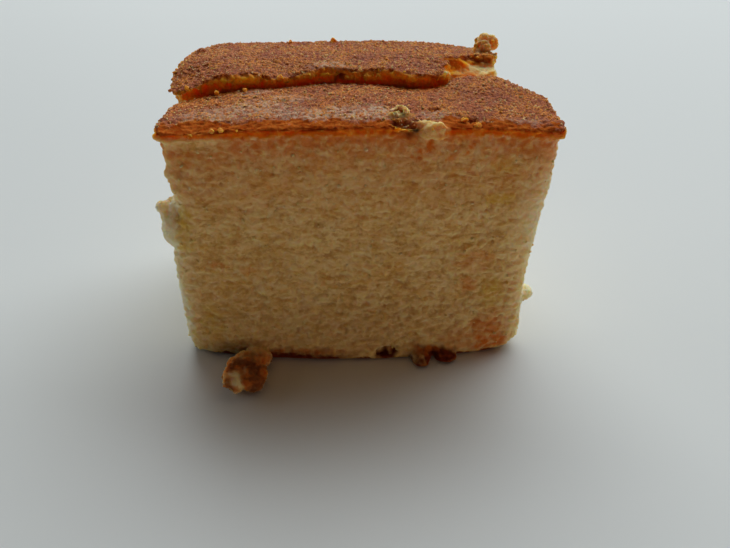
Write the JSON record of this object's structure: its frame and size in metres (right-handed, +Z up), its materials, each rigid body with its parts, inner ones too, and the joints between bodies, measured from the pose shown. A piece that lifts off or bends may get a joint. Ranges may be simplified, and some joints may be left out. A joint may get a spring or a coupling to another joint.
{
  "type": "sponge cake piece",
  "caption": "Block of golden sponge cake with a browned crumbly top crust, cut into slices that stand together on a flat base.",
  "frame": {"origin": "middle of the bounding box's underside, on the surface that the cake stands on", "axes": "+X along the cut faces to the right, +Y from the cut face that shows towards the back, +Z up"},
  "size_m": [0.0806, 0.0636, 0.0589],
  "materials": {
    "crumb": "open pale yellow sponge crumb, matt",
    "crust": "browned top and base crust, dull with a faint sheen"
  },
  "bodies": {
    "root": {"front_slice": "crumb", "rear_slice": "crumb"}
  },
  "joints": []
}
